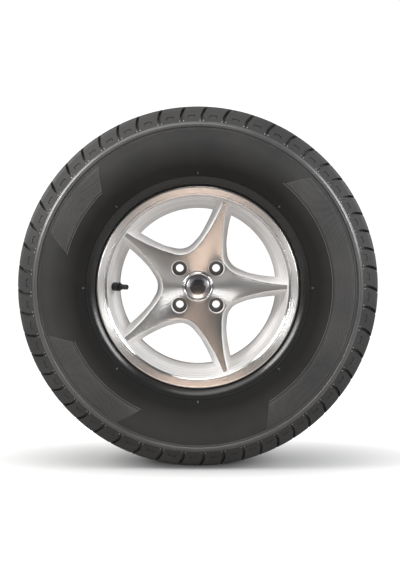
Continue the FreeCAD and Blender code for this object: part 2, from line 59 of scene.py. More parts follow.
def settle(obj):  # modifiers become a plain mesh
    graph = bpy.context.evaluated_depsgraph_get()
    mesh = bpy.data.meshes.new_from_object(obj.evaluated_get(graph))
    obj.modifiers.clear()
    obj.data = mesh
    return obj


def faceOutwards(obj, weld=0.00001):
    work = bmesh.new()
    work.from_mesh(obj.data)
    bmesh.ops.remove_doubles(work, verts=work.verts, dist=weld)
    bmesh.ops.recalc_face_normals(work, faces=work.faces)
    work.to_mesh(obj.data)
    work.free()
    obj.data.shade_smooth()
    obj.data.set_sharp_from_angle(angle=radians(sharpEdge))


def lathe(name, outline, count, closed=False):  # outline is (along, radius) in mm
    verts, faces, n = [], [], len(outline)
    for k in range(count):
        turn = 2 * pi * k / count
        verts += [Vector((reach * cos(turn), along, reach * sin(turn))) * mm for along, reach in outline]
    last = n if closed else n - 1
    for k in range(count):
        here, there = k * n, (k + 1) % count * n
        for i in range(last):
            j = (i + 1) % n
            faces.append((here + i, here + j, there + j, there + i))
    obj = newObject(name, verts, faces)
    faceOutwards(obj)
    return obj


def rounded(points, soft=1.0, steps=3, closed=False):  # corners of an outline eased by small arcs
    out, n = [], len(points)
    for i, p in enumerate(points):
        if not closed and i in (0, n - 1):
            out.append(p)
            continue
        a, b, c = Vector(points[i - 1]), Vector(p), Vector(points[(i + 1) % n])
        reach = min(soft, (a - b).length * 0.45, (c - b).length * 0.45)
        start, end = b + (a - b).normalized() * reach, b + (c - b).normalized() * reach
        for k in range(steps + 1):
            t = k / steps
            out.append(tuple((1 - t) ** 2 * start + 2 * t * (1 - t) * b + t * t * end))
    return out


# materials

def newFinish(name, **sockets):
    finish = bpy.data.materials.new(name)
    finish.use_nodes = True
    shader = finish.node_tree.nodes["Principled BSDF"]
    for key, value in sockets.items():
        shader.inputs[key.replace("_", " ")].default_value = value
    return finish, finish.node_tree, shader


def addNode(tree, kind, **settings):
    node = tree.nodes.new(kind)
    for key, value in settings.items():
        if key in node.inputs:
            node.inputs[key].default_value = value
        else:
            setattr(node, key, value)
    return node


def noiseField(tree, scale, detail=4.0):
    coords = addNode(tree, "ShaderNodeTexCoord")
    noise = addNode(tree, "ShaderNodeTexNoise", Scale=scale, Detail=detail)
    tree.links.new(coords.outputs["Object"], noise.inputs["Vector"])
    return noise.outputs["Fac"]


def ramp(tree, source, low, high, start=0.3, end=0.7):
    node = addNode(tree, "ShaderNodeMapRange")
    node.inputs["From Min"].default_value = start
    node.inputs["From Max"].default_value = end
    node.inputs["To Min"].default_value = low
    node.inputs["To Max"].default_value = high
    tree.links.new(source, node.inputs["Value"])
    return node.outputs["Result"]


def tint(tree, source, dark, light, start=0.3, end=0.7):
    node = addNode(tree, "ShaderNodeValToRGB")
    node.color_ramp.elements[0].position, node.color_ramp.elements[0].color = start, (*dark, 1)
    node.color_ramp.elements[1].position, node.color_ramp.elements[1].color = end, (*light, 1)
    tree.links.new(source, node.inputs["Fac"])
    return node.outputs["Color"]


def bumpFrom(tree, shader, source, strength, distance):
    bump = addNode(tree, "ShaderNodeBump", Strength=strength, Distance=distance)
    tree.links.new(source, bump.inputs["Height"])
    tree.links.new(bump.outputs["Normal"], shader.inputs["Normal"])


def aboutAxle(tree):  # distance from the axle in metres, the angle round it and the place along it
    coords = addNode(tree, "ShaderNodeTexCoord")
    split = addNode(tree, "ShaderNodeSeparateXYZ")
    tree.links.new(coords.outputs["Object"], split.inputs["Vector"])
    flat = addNode(tree, "ShaderNodeCombineXYZ")
    tree.links.new(split.outputs["X"], flat.inputs["X"])
    tree.links.new(split.outputs["Z"], flat.inputs["Y"])
    reach = addNode(tree, "ShaderNodeVectorMath", operation="LENGTH")
    tree.links.new(flat.outputs["Vector"], reach.inputs[0])
    turn = addNode(tree, "ShaderNodeMath", operation="ARCTAN2")
    tree.links.new(split.outputs["Z"], turn.inputs[0])
    tree.links.new(split.outputs["X"], turn.inputs[1])
    return reach.outputs["Value"], turn.outputs["Value"], split.outputs["Y"]


finishSizes = {
    "outerGreyFrom": 0.232, "outerGreyFull": 0.285,  # distances from the axle between which the rubber turns greyer
    "trackScale": 2600.0, "streakScale": 150.0,
}


def rubberFinish(name, dark, light, rough, shine=0.35, outerGrey=None, vary=0.06):
    finish, tree, shader = newFinish(name, Specular_IOR_Level=shine)
    cloudy = noiseField(tree, 9.0, 5.0)
    colour = tint(tree, cloudy, dark, light)
    if outerGrey:  # greyer rubber towards the tread
        outer = tint(tree, cloudy, *outerGrey)
        blend = addNode(tree, "ShaderNodeMix", data_type="RGBA")
        share = ramp(tree, aboutAxle(tree)[0], 0, 1, finishSizes["outerGreyFrom"], finishSizes["outerGreyFull"])
        tree.links.new(share, blend.inputs[0])
        tree.links.new(colour, blend.inputs[6])
        tree.links.new(outer, blend.inputs[7])
        colour = blend.outputs[2]
    tree.links.new(colour, shader.inputs["Base Color"])
    tree.links.new(ramp(tree, noiseField(tree, 60.0), rough - vary, rough + vary), shader.inputs["Roughness"])
    bumpFrom(tree, shader, noiseField(tree, 900.0, 3.0), 0.12, 0.0004)
    return finish


def machinedFinish(name, dark, light, pull, fine, coarse):  # fine turned tracks round the axle
    finish, tree, shader = newFinish(name, Metallic=1.0, Anisotropic=pull, Anisotropic_Rotation=0.25)
    reach, turn = aboutAxle(tree)[:2]
    line = addNode(tree, "ShaderNodeCombineXYZ")
    scaled = addNode(tree, "ShaderNodeMath", operation="MULTIPLY")
    scaled.inputs[1].default_value = finishSizes["trackScale"]
    tree.links.new(reach, scaled.inputs[0])
    tree.links.new(scaled.outputs["Value"], line.inputs["X"])
    tree.links.new(turn, line.inputs["Y"])
    tracks = addNode(tree, "ShaderNodeTexNoise", Scale=1.0, Detail=3.0)
    tree.links.new(line.outputs["Vector"], tracks.inputs["Vector"])
    tree.links.new(tint(tree, tracks.outputs["Fac"], dark, light), shader.inputs["Base Color"])
    tree.links.new(ramp(tree, tracks.outputs["Fac"], fine, coarse), shader.inputs["Roughness"])
    bumpFrom(tree, shader, tracks.outputs["Fac"], 0.012, 0.0001)
    grain = addNode(tree, "ShaderNodeTangent", direction_type="RADIAL", axis="Y")
    tree.links.new(grain.outputs["Tangent"], shader.inputs["Tangent"])
    return finish


def barrelFinish():  # turned lines round the inside of the rim
    finish, tree, shader = newFinish("turnedBarrel", Metallic=0.25, Coat_Weight=0.2, Coat_Roughness=0.2)
    line = addNode(tree, "ShaderNodeCombineXYZ")
    tree.links.new(aboutAxle(tree)[2], line.inputs["X"])
    streaks = addNode(tree, "ShaderNodeTexNoise", Scale=finishSizes["streakScale"], Detail=3.0)
    tree.links.new(line.outputs["Vector"], streaks.inputs["Vector"])
    tree.links.new(tint(tree, streaks.outputs["Fac"], (0.70, 0.692, 0.684), (0.92, 0.912, 0.906), 0.36, 0.62),
                   shader.inputs["Base Color"])
    tree.links.new(ramp(tree, streaks.outputs["Fac"], 0.30, 0.42), shader.inputs["Roughness"])
    return finish


def paintFinish(name, dark, light, metal, rough):
    finish, tree, shader = newFinish(name, Metallic=metal, Coat_Weight=0.25, Coat_Roughness=0.2)
    flake = noiseField(tree, 1600.0, 2.0)
    tree.links.new(tint(tree, flake, dark, light), shader.inputs["Base Color"])
    tree.links.new(ramp(tree, noiseField(tree, 40.0), rough - 0.05, rough + 0.05), shader.inputs["Roughness"])
    bumpFrom(tree, shader, noiseField(tree, 700.0), 0.05, 0.0002)
    return finish


def plainFinish(name, colour, metal, rough, spread=0.25, coat=0.0):
    finish, tree, shader = newFinish(name, Metallic=metal, Coat_Weight=coat)
    dark, light = [c * (1 - spread) for c in colour], [min(1, c * (1 + spread)) for c in colour]
    tree.links.new(tint(tree, noiseField(tree, 120.0), dark, light), shader.inputs["Base Color"])
    tree.links.new(ramp(tree, noiseField(tree, 300.0), rough * 0.8, rough * 1.2), shader.inputs["Roughness"])
    bumpFrom(tree, shader, noiseField(tree, 1200.0), 0.04, 0.0001)
    return finish


sidewallRubber = rubberFinish("sidewallRubber", (0.011, 0.011, 0.0111), (0.017, 0.0166, 0.0162), 0.5, 0.14,
                              ((0.044, 0.044, 0.0443), (0.064, 0.0632, 0.0622)))
# serration bars, fitting ticks and panel lines are painted far lighter than the sidewall rubber, a painted
# sheen where the ridges catch the light
ridgeSheenRubber = rubberFinish("ridgeSheenRubber", (0.10, 0.10, 0.101), (0.14, 0.139, 0.138), 0.42, 0.4)
# the smooth ring under the blocks is really glossy, and its rubber is also painted lighter than the rubber
# round it, a painted sheen
bandSheenRubber = rubberFinish("bandSheenRubber", (0.060, 0.060, 0.0605), (0.085, 0.0845, 0.084), 0.34, 0.8)
beadRubber = rubberFinish("beadRubber", (0.011, 0.011, 0.0111), (0.017, 0.0166, 0.0162), 0.25, 0.45,
                          vary=0.015)
# the vent nibs are painted pale grey, a painted glint on each small dot
nibGlintRubber = rubberFinish("nibGlintRubber", (0.30, 0.30, 0.30), (0.42, 0.42, 0.42), 0.3, 0.6)
valveRubber = rubberFinish("valveRubber", (0.010, 0.010, 0.011), (0.017, 0.017, 0.017), 0.45)
machinedAlloy = machinedFinish("machinedAlloy", (0.34, 0.338, 0.336), (0.43, 0.427, 0.424), 0.92, 0.18, 0.24)
turnedLip = machinedFinish("turnedLip", (0.52, 0.517, 0.514), (0.63, 0.626, 0.622), 0.86, 0.20, 0.26)
turnedBarrel = barrelFinish()
silverPaint = paintFinish("silverPaint", (0.80, 0.79, 0.785), (0.90, 0.89, 0.885), 0.15, 0.40)
# the bolt wells are drawn much darker than the turned face
boltWellDark = paintFinish("boltWellDark", (0.10, 0.092, 0.085), (0.15, 0.14, 0.13), 0.4, 0.45)
capChrome = plainFinish("capChrome", (0.72, 0.72, 0.73), 1.0, 0.10, 0.08)
smokedChrome = plainFinish("smokedChrome", (0.30, 0.30, 0.31), 1.0, 0.16, 0.1)
badgeEnamel = plainFinish("badgeEnamel", (0.008, 0.008, 0.009), 0.0, 0.22, 0.3, 1.0)
valveBrass = plainFinish("valveBrass", (0.72, 0.55, 0.27), 1.0, 0.28, 0.12)
springSteel = plainFinish("springSteel", (0.50, 0.50, 0.52), 1.0, 0.3, 0.15)
capPlastic = plainFinish("capPlastic", (0.014, 0.014, 0.015), 0.0, 0.42, 0.3)
print("materials made")


# shapes that go round the wheel: x is the angle, y the axle, z the radius, until they are wrapped

def wrapTree():
    tree = bpy.data.node_groups.new("wrapRound", "GeometryNodeTree")
    face = tree.interface
    face.new_socket("Geometry", in_out="INPUT", socket_type="NodeSocketGeometry")
    face.new_socket("Places", in_out="INPUT", socket_type="NodeSocketObject")
    face.new_socket("Finish", in_out="INPUT", socket_type="NodeSocketMaterial")
    face.new_socket("Weld", in_out="INPUT", socket_type="NodeSocketFloat")
    face.new_socket("Geometry", in_out="OUTPUT", socket_type="NodeSocketGeometry")

    def add(kind, **settings):
        node = tree.nodes.new(kind)
        for key, value in settings.items():
            setattr(node, key, value)
        return node

    def join(a, b):
        tree.links.new(a, b)

    given, result = add("NodeGroupInput"), add("NodeGroupOutput")
    places = add("GeometryNodeObjectInfo")
    join(given.outputs["Places"], places.inputs["Object"])
    stretch = add("GeometryNodeInputNamedAttribute", data_type="FLOAT")
    stretch.inputs["Name"].default_value = "stretch"
    size = add("ShaderNodeCombineXYZ")
    size.inputs["Y"].default_value = size.inputs["Z"].default_value = 1
    join(stretch.outputs["Attribute"], size.inputs["X"])
    spread = add("GeometryNodeInstanceOnPoints")
    join(places.outputs["Geometry"], spread.inputs["Points"])
    join(given.outputs["Geometry"], spread.inputs["Instance"])
    join(size.outputs["Vector"], spread.inputs["Scale"])
    real = add("GeometryNodeRealizeInstances")
    join(spread.outputs["Instances"], real.inputs["Geometry"])
    spot, split = add("GeometryNodeInputPosition"), add("ShaderNodeSeparateXYZ")
    join(spot.outputs["Position"], split.inputs["Vector"])
    lean = add("GeometryNodeInputNamedAttribute", data_type="FLOAT")
    lean.inputs["Name"].default_value = "lean"
    turn = add("ShaderNodeMath", operation="ADD")
    join(split.outputs["X"], turn.inputs[0])
    join(lean.outputs["Attribute"], turn.inputs[1])
    around = add("ShaderNodeCombineXYZ")
    join(split.outputs["Y"], around.inputs["Y"])
    for way, key in (("COSINE", "X"), ("SINE", "Z")):
        wave, arm = add("ShaderNodeMath", operation=way), add("ShaderNodeMath", operation="MULTIPLY")
        join(turn.outputs["Value"], wave.inputs[0])
        join(wave.outputs["Value"], arm.inputs[0])
        join(split.outputs["Z"], arm.inputs[1])
        join(arm.outputs["Value"], around.inputs[key])
    bend = add("GeometryNodeSetPosition")
    join(real.outputs["Geometry"], bend.inputs["Geometry"])
    join(around.outputs["Vector"], bend.inputs["Position"])
    weld = add("GeometryNodeMergeByDistance")
    join(bend.outputs["Geometry"], weld.inputs["Geometry"])
    join(given.outputs["Weld"], weld.inputs["Distance"])
    paint = add("GeometryNodeSetMaterial")
    join(weld.outputs["Geometry"], paint.inputs["Geometry"])
    join(given.outputs["Finish"], paint.inputs["Material"])
    join(paint.outputs["Geometry"], result.inputs["Geometry"])
    return tree


wrapRound = wrapTree()


def wrapped(name, verts, faces, lean, places, finish):
    template = newObject(name, verts, faces)
    mark = template.data.attributes.new("lean", "FLOAT", "POINT")
    mark.data.foreach_set("value", lean)
    points = newObject(name + "Places", [(angle, 0, 0) for angle, _ in places], [])
    grow = points.data.attributes.new("stretch", "FLOAT", "POINT")
    grow.data.foreach_set("value", [size for _, size in places])
    step = template.modifiers.new("wrap", "NODES")
    step.node_group = wrapRound
    sockets = {i.name: i.identifier for i in wrapRound.interface.items_tree if i.in_out == "INPUT"}
    step[sockets["Places"]] = points
    step[sockets["Finish"]] = finish
    step[sockets["Weld"]] = 0.00002
    settle(template)
    bpy.data.objects.remove(points)
    faceOutwards(template)
    return template


# tyre

tyreSizes = {
    "pitches": "LLMMMMLMLMLLMLMMSSSMMLLLMMMSSSSMMMLLLMMSSSSMSMMLLLLM",
    "weights": {"S": 0.89, "M": 1.0, "L": 1.10},
    "radius": 349.88, "treadHalf": 80.0, "treadFall": 4.5,
    "widestHalf": 107.4, "widestRadius": 260.0, "wallFoot": (97.5, 213.0), "wallTop": (101.5, 306.0),
    "grooveHalf": 5.0, "grooveFloorHalf": 3.0, "grooveDepth": 9.0, "grooves": (47.0, 0.0),
    "grooveEase": 0.6, "floorEase": (0.3, 0.5), "ribRow": 24.0, "shoulderRows": (70.0, 60.0),
    "slotDepth": 7.0, "slotHalf": 2.9, "slotFloor": 0.8, "plainHalf": 0.6,
    "edgeRun": 21.8, "flankRun": 33.8, "runBlend": 12.0,
    "sipeDepth": 1.6, "sipeHalf": 0.55, "sipesAt": (0.34, 0.66),
    "bead": ((57.0, 176.2), (75.6, 178.0), (75.8, 187.5), (79.0, 192.6), (83.4, 195.4)),
    "bandReach": (13.6, 16.4), "bandBulge": 2.2,  # soft band beside the rim
    "fittingLine": ((97.0, 212.2), (98.4, 212.9), (98.9, 214.0), (98.5, 215.0)),
    "wallRadii": (220, 229, 239, 249, 259, 269, 279, 289, 297, 301.4),
    "ringLine": ((-0.5, 301.9), (-0.5, 302.7), (0, 303.2), (0, 304.6), (-0.5, 305.0), (-0.5, 305.6)),
    "smoothRing": ((102.6, 306.4), (103.3, 307.4), (103.3, 309.4), (102.7, 311.6), (101.3, 313.4),
                   (99.9, 314.5), (98.7, 314.9)),
    "flankEnds": ((98.2, 315.6), (87.0, 339.5)),
    # radius, slot depth, slot half width and sipe of each row
    "flank": ((315.6, 0, 0.6, 0), (316.3, 1.0, 0.6, 0), (320.4, 1.6, 0.9, 0), (321.6, 2.6, 2.2, 0),
              (323.2, 3.4, 2.5, 0), (323.8, 3.6, 2.6, 1), (327.2, 4.6, 2.7, 1), (327.8, 4.8, 2.8, 2),
              (328.5, 5.0, 2.8, 0), (333.0, 6.2, 2.9, 0), (337.0, 6.8, 2.9, 0)),
    "edgeArc": ((87.6, 338.3), (84.6, 344.6)), "edgeEnd": 79.5,
    "liner": ((57.0, 193.0), (64.0, 200.0), (98.0, 258.0), (92.0, 305.0), (74.0, 325.0), (0.0, 331.0)),
    "bandFaces": (301.6, 315.8, 97), "beadFaces": (190, 212, 76),  # radii and least half width
}
pitchTurn = 2 * pi / len(tyreSizes["pitches"])


def sideHalf(radius):  # half width of the bare sidewall at a radius
    t = tyreSizes
    end = t["wallFoot"] if radius < t["widestRadius"] else t["wallTop"]
    drop, rise = t["widestHalf"] - end[0], end[1] - t["widestRadius"]
    bow = (drop * drop + rise * rise) / (2 * drop)
    return t["widestHalf"] - bow + sqrt(bow * bow - (radius - t["widestRadius"]) ** 2)


def treadHeight(half):
    return tyreSizes["radius"] - tyreSizes["treadFall"] * half / tyreSizes["treadHalf"]


def tyreRows():  # half width, radius, slot depth, slot half width, sipe (1 legs, 2 line, 3 deep legs)
    t, rows = tyreSizes, []
    thin, ease = t["plainHalf"], t["grooveEase"]
    side, lift = t["floorEase"]

    def plain(half, radius, sipe=0):
        rows.append((half, radius, 0, thin, sipe))

    for half, radius in t["bead"]:
        plain(half, radius)
    foot, (wide, high) = t["bead"][-1], t["bandReach"]
    for k in range(1, 5):
        f = k / 5
        plain(foot[0] + wide * f + t["bandBulge"] * sin(pi * f), foot[1] + high * f)
    for half, radius in t["fittingLine"]:
        plain(half, radius)
    for radius in t["wallRadii"]:
        plain(sideHalf(radius), radius)
    for off, radius in t["ringLine"]:
        plain(sideHalf(radius) + off, radius)
    for half, radius in t["smoothRing"]:
        plain(half, radius)
    lower, upper = t["flankEnds"]
    for radius, depth, half, sipe in t["flank"]:
        f = (radius - lower[1]) / (upper[1] - lower[1])
        rows.append((lower[0] + (upper[0] - lower[0]) * f, radius, depth, half, sipe))
    (halfA, radiusA), (halfB, radiusB) = t["edgeArc"]
    for k in range(6):  # round edge between flank and tread
        f = k / 5
        half = (1 - f) ** 2 * halfA + 2 * f * (1 - f) * halfB + f * f * t["edgeEnd"]
        radius = (1 - f) ** 2 * radiusA + 2 * f * (1 - f) * radiusB + f * f * treadHeight(t["edgeEnd"])
        rows.append((half, radius, t["slotDepth"], t["slotHalf"], 0))
    for half in t["shoulderRows"]:
        rows.append((half, treadHeight(half), t["slotDepth"], t["slotHalf"], 0))
    for middle in t["grooves"]:
        top, floor = middle + t["grooveHalf"], middle + t["grooveFloorHalf"]
        slot, width, legs = (t["slotDepth"], t["slotHalf"], 0) if middle else (0, thin, 3)
        rows.append((top + ease, treadHeight(top), slot, width, legs))
        rows.append((top, treadHeight(top) - ease, slot, width, legs))
        rows.append((floor + side, treadHeight(top) - t["grooveDepth"] + lift, 0, width, 0))
        rows.append((floor - side, treadHeight(top) - t["grooveDepth"], 0, width, 0))
        if middle:
            low, edge = middle - t["grooveFloorHalf"], middle - t["grooveHalf"]
            plain(low + side, treadHeight(edge) - t["grooveDepth"])
            plain(low - side, treadHeight(edge) - t["grooveDepth"] + lift)
            plain(edge, treadHeight(edge) - ease, 3)
            plain(edge - ease, treadHeight(edge), 3)
            plain(t["ribRow"], treadHeight(t["ribRow"]), 3)
    return rows


def makeTyre():
    t = tyreSizes
    front = [(-half, *rest) for half, *rest in tyreRows()]
    rear = [(half, *rest) for half, *rest in reversed(tyreRows())]
    liner = [(half, radius, 0, t["plainHalf"], 0) for half, radius in t["liner"]]
    inside = liner + [(-row[0], *row[1:]) for row in reversed(liner[:-1])]
    rows = front + rear + inside
    count = len(rows)
    a, b = t["sipesAt"]
    columns = 13  # points across one block, from slot to slot
    verts, faces, lean = [], [], []
    for i, (axial, radius, depth, half, sipe) in enumerate(rows):
        before, after = rows[i - 1], rows[(i + 1) % count]
        along = Vector((after[0] - before[0], after[1] - before[1])).normalized()
        inward = Vector((along.y, -along.x))
        pitch = radius * pitchTurn
        e, f, w = half / pitch, t["slotFloor"] * half / pitch, t["sipeHalf"] / pitch
        spots = (0, f, e, a - w, a, a + w, 0.5, b - w, b, b + w, 1 - e, 1 - f, 1)
        legDepth = t["sipeDepth"] * (2 if sipe == 3 else 1)
        cuts = [0] * columns
        for k in (0, 1, 11, 12):
            cuts[k] = depth
        for k in {0: (), 1: (4, 8), 2: (4, 5, 6, 7, 8), 3: (4, 8)}[sipe]:
            cuts[k] = legDepth
        out = abs(axial)
        if i >= len(front) + len(rear):
            run = t["flankRun"] * min(1, out / liner[0][0])
        elif out > t["treadHalf"]:
            share = min(1, (out - t["treadHalf"]) / t["runBlend"])
            run = t["edgeRun"] + (t["flankRun"] - t["edgeRun"]) * share
        else:
            run = t["edgeRun"] * out / t["treadHalf"]
        shift = -run / t["radius"] * (1 if axial > 0 else -1)
        for spot, cut in zip(spots, cuts):
            place = Vector((axial, radius)) + inward * cut
            verts.append((spot * pitchTurn, place.x * mm, place.y * mm))
            lean.append(shift)
    for i in range(count):
        j = (i + 1) % count
        for k in range(columns - 1):
            here, there = i * columns + k, j * columns + k
            faces.append((here, here + 1, there + 1, there))
    total = sum(t["weights"][p] for p in t["pitches"])
    places, angle = [], pi / 2
    for p in t["pitches"]:
        size = t["weights"][p] * len(t["pitches"]) / total
        places.append((angle, size))
        angle += pitchTurn * size
    tyre = wrapped("tyreRubber", verts, faces, lean, places, sidewallRubber)
    tyre.data.materials.clear()
    for finish in (sidewallRubber, bandSheenRubber, beadRubber):
        tyre.data.materials.append(finish)
    for face in tyre.data.polygons:  # smooth rings under the blocks and beside the rim
        at = face.center / mm
        reach = hypot(at.x, at.z)
        face.material_index = 0
        for index, (low, high, half) in ((1, t["bandFaces"]), (2, t["beadFaces"])):
            if low < reach < high and abs(at.y) > half:
                face.material_index = index
    return tyre, places


tyre, pitchPlaces = makeTyre()
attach(tyre, "wheel")
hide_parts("tyre")
print("tyre made", len(tyre.data.polygons))


# raised marks on the sidewalls

markSizes = {
    "panels": ((-58.0, 51.0), (135.0, 165.5), (203.5, 245.0)),  # angles at the foot of each serrated panel
    "panelFoot": 257.5, "panelTop": 300.5, "panelLean": -6.0, "panelMiddle": 280.0,
    "barGap": 2.6, "barWidth": 1.7, "barHeight": 0.5,
    "lineGap": 1.4, "lineWidth": 1.4, "lineHeight": 0.4, "sunk": -0.3,
    "tickCount": 8, "tickFoot": 215.5, "tickTop": 221.0, "tickWidth": 2.4, "tickHeight": 0.5,
    "nibRadius": 318.2, "nibSide": 3.4, "nibSize": 1.1, "nibHeight": 0.9, "nibSlope": 0.47,
}


def ridge(foot, top, lean, width, height, steps, side):  # a slanted bar that follows the sidewall
    verts, faces, slants = [], [], []
    sunk = markSizes["sunk"]
    for k in range(steps + 1):
        f = k / steps
        radius = foot + (top - foot) * f
        half = width / 2 / radius
        wall = sideHalf(radius)
        rise = height if 0 < k < steps else -0.1
        for x, up in ((-half, sunk), (-half * 0.35, rise), (half * 0.35, rise), (half, sunk)):
            verts.append((x, side * (wall + up) * mm, radius * mm))
            slants.append(lean * f)
    for k in range(steps):
        for c in range(4):
            d = (c + 1) % 4
            faces.append((k * 4 + c, k * 4 + d, k * 4 + 4 + d, k * 4 + 4 + c))
    faces += [(3, 2, 1, 0), tuple(range(steps * 4, steps * 4 + 4))]
    return verts, faces, slants


def nib(side):  # two small round vents at the foot of each slot
    m, verts, faces = markSizes, [], []
    shift, foot = -side * tyreSizes["flankRun"] / tyreSizes["radius"], tyreSizes["flankEnds"][0]
    for off in (-m["nibSide"], m["nibSide"]):
        base = len(verts)
        for reach, up in ((1.0, -0.4), (0.8, 0.6), (0.35, 1.0)):
            for k in range(8):
                a = 2 * pi * k / 8
                radius = m["nibRadius"] + reach * m["nibSize"] * sin(a)
                wall = foot[0] - m["nibSlope"] * (radius - foot[1])
                verts.append(((off + reach * m["nibSize"] * cos(a)) / radius,
                              side * (wall + up * m["nibHeight"]) * mm, radius * mm))
        for row in range(2):
            for k in range(8):
                a, b = base + row * 8 + k, base + row * 8 + (k + 1) % 8
                faces.append((a, b, b + 8, a + 8))
        faces += [tuple(base + k for k in reversed(range(8))), tuple(base + 16 + k for k in range(8))]
    return verts, faces, [shift] * len(verts)


def ringRidge(radius, width, height, start, end, side):  # a raised line along the sidewall
    verts, faces, sunk = [], [], markSizes["sunk"]
    steps = max(8, int((end - start) / radians(1.5)))
    for k in range(steps + 1):
        turn = start + (end - start) * k / steps
        for off, up in ((-width / 2, sunk), (-width * 0.2, height), (width * 0.2, height), (width / 2, sunk)):
            reach = radius + off
            verts.append((reach * cos(turn) * mm, side * (sideHalf(reach) + up) * mm, reach * sin(turn) * mm))
    for k in range(steps):
        for c in range(4):
            d = (c + 1) % 4
            faces.append((k * 4 + c, k * 4 + d, k * 4 + 4 + d, k * 4 + 4 + c))
    faces += [(3, 2, 1, 0), tuple(range(steps * 4, steps * 4 + 4))]
    return verts, faces


def makeMarks(side, label):
    m = markSizes
    made = []
    verts, faces, slants = ridge(m["panelFoot"], m["panelTop"], radians(m["panelLean"]), m["barWidth"],
                                 m["barHeight"], 8, side)
    places = []
    for start, end in m["panels"]:
        step = degrees(m["barGap"] / m["panelMiddle"])
        places += [(radians(start + k * step), 1.0) for k in range(int((end - start) / step))]
    made.append(wrapped("serrations" + label, verts, faces, slants, places, ridgeSheenRubber))
    verts, faces, slants = ridge(m["tickFoot"], m["tickTop"], 0, m["tickWidth"], m["tickHeight"], 3, side)
    places = [(2 * pi * k / m["tickCount"], 1.0) for k in range(m["tickCount"])]
    made.append(wrapped("fittingTicks" + label, verts, faces, slants, places, ridgeSheenRubber))
    verts, faces, slants = nib(side)
    made.append(wrapped("ventNibs" + label, verts, faces, slants, pitchPlaces, nibGlintRubber))
    verts, faces = [], []
    foot, top = m["panelFoot"] - m["lineGap"], m["panelTop"] + m["lineGap"]
    for start, end in m["panels"]:
        for radius, shift in ((foot, 0), (top, m["panelLean"])):
            more, sides = ringRidge(radius, m["lineWidth"], m["lineHeight"], radians(start + shift),
                                    radians(end + shift), side)
            faces += [tuple(i + len(verts) for i in face) for face in sides]
            verts += more
    lines = newObject("panelLines" + label, verts, faces)
    lines.data.materials.append(ridgeSheenRubber)
    faceOutwards(lines)
    made.append(lines)
    return made


for side, label in ((-1, "Front"), (1, "Rear")):
    for piece in makeMarks(side, label):
        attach(piece, "wheel")
print("sidewall marks made")


# alloy wheel: turned rim and a five-armed star

wheelSizes = {
    "arms": 5, "noseRadius": 42.0, "noseAt": 108.0, "sideRadius": 300.0, "armTip": 18.0, "faceTip": 12.0,
    "landRadius": 174.5, "draft": 16.0, "tipPlane": 72.0, "hubFace": 61.0, "armBack": 39.0, "roll": 3.4,
    "face": ((30.0, -58.7), (68.0, -61.0), (174.4, -72.3)), "backPocket": (96.0, 140.0, 7.5, -51.0),
    "farReach": 205.0, "cutBack": -15.0, "windowSteps": 24, "pocketMouth": (-36.0, 1.5),
    "rolls": ((-8.0, 1.3), (-0.1, 1.04), (0.1, 0.564), (0.3, 0.286), (0.6, 0.083), (1.0, 0.0)),  # depth, width
    "bolts": 4, "boltRing": 50.0, "boltHole": 7.5, "boltWell": 14.25, "boltDepth": 18.0, "wellChamfer": 2.2,
    "wellMouth": ((-75.0, 12.0), (-65.2, 6.4)), "edge": 0.9, "edgeFrom": 50, "sharpFrom": 34, "rimSoft": 1.4,
    "back": ((-57.5, 171.0), (-39.0, 157.0), (-39.0, 100.0), (-25.0, 74.0), (-25.0, 30.05), (-41.0, 30.05),
             (-41.0, 31.5), (-45.0, 31.5), (-45.0, 27.8), (-58.0, 27.8), (-58.0, 30.0)),
    "rim": ((-85.6, 178.2), (-85.8, 180.0), (-85.3, 180.2), (-85.3, 180.9), (-85.9, 181.1), (-87.2, 192.3),
            (-85.4, 194.7), (-79.2, 194.7), (-76.2, 190.0), (-76.2, 178.6),
            (-57.0, 176.6), (-54.0, 174.6), (-33.0, 158.6), (-16.0, 158.6), (4.0, 173.0), (40.0, 174.6),
            (57.0, 176.6), (76.2, 178.6), (76.2, 190.0), (79.2, 194.7), (85.4, 194.7), (87.2, 192.3),
            (86.4, 184.0), (79.0, 172.0), (72.0, 166.5), (-2.0, 166.5), (-20.0, 152.0), (-36.0, 152.0),
            (-57.5, 168.0), (-82.7, 174.5)),
    "starSteps": 160, "rimSteps": 192, "boltSteps": 40,
    "wellFaces": {"spare": 0.1, "from": 0.8},  # past the well's radius, share of its chamfer
    "lipFaces": {"from": 174.4, "front": -90, "back": -81, "facing": 0.2},
    "starFaces": {"to": 173, "back": -57.5, "facing": 0.93}, "barrelFaces": {"from": 150, "facing": -0.3},
}


def windowOutline(shrink, tipWidth, steps):  # round nose towards the hub, two long arcs that touch it
    w = wheelSizes
    half = pi / w["arms"]
    nose = Vector((w["noseAt"], 0))
    tip = Vector((w["landRadius"] * cos(half) + tipWidth / 2 * sin(half),
                  w["landRadius"] * sin(half) - tipWidth / 2 * cos(half)))
    line = tip - nose
    reach = w["sideRadius"] - w["noseRadius"]
    along = (reach ** 2 - w["sideRadius"] ** 2 + line.length_squared) / (2 * line.length)
    unit = line.normalized()
    middle = nose + unit * along + Vector((unit.y, -unit.x)) * sqrt(reach ** 2 - along ** 2)
    touch = atan2((nose - middle).y, (nose - middle).x)
    share = (w["farReach"] - middle.x) / w["sideRadius"]
    far = pi - atan2(sqrt(1 - share ** 2), -share)
    bow = w["sideRadius"] - shrink
    upper = []
    for k in range(steps // 2 + 1):
        turn = pi + (touch - pi) * k / (steps // 2)
        upper.append(nose + Vector((cos(turn), sin(turn))) * (w["noseRadius"] - shrink))
    for k in range(1, steps + 1):
        turn = touch + (far - touch) * k / steps
        upper.append(middle + Vector((cos(turn), sin(turn))) * bow)
    lower = [Vector((p.x, -p.y)) for p in reversed(upper[1:])]
    return lower + upper


def faceAt(radius):  # where the front of the star lies along the axle
    inner, middle, outer = wheelSizes["face"]
    a, b = (inner, middle) if radius < middle[0] else (middle, outer)
    return a[1] + (b[1] - a[1]) * (radius - a[0]) / (b[0] - a[0])


